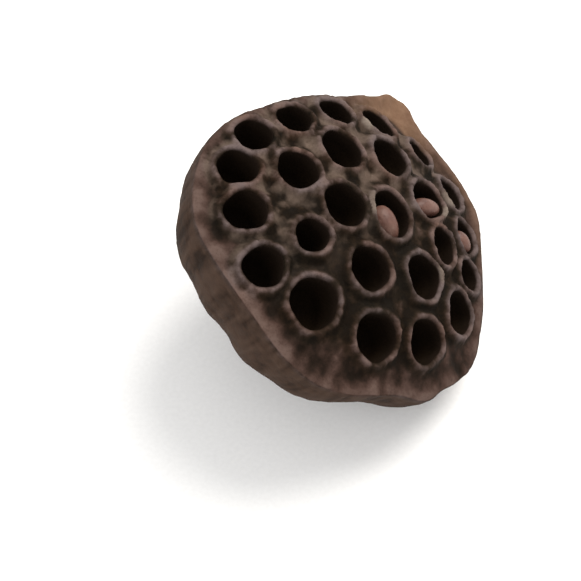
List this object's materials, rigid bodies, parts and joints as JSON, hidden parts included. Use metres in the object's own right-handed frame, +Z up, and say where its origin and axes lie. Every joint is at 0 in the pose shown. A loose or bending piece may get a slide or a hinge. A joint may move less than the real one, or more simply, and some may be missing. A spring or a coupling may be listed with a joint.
{
  "type": "dried lotus seed pod",
  "caption": "Dried lotus seed pod lying on its cup: a domed woody face of open seed cells with raised lips, a few nuts still in them, and a cut stem stub.",
  "frame": {"origin": "centre of the bounding box's underside, on the surface that the pod lies on", "axes": "+Z up from that surface; +X the way the domed face leans; +Y across the pod"},
  "size_m": [0.0802, 0.0956, 0.0654],
  "materials": {
    "dried_husk": "dry, matt, finely wrinkled",
    "dried_nut": "smooth, slightly dull shell"
  },
  "bodies": {
    "root": {"pod": "dried_husk", "nut_crown": "dried_nut", "nut_middle": "dried_nut", "nut_outer": "dried_nut"}
  },
  "joints": []
}
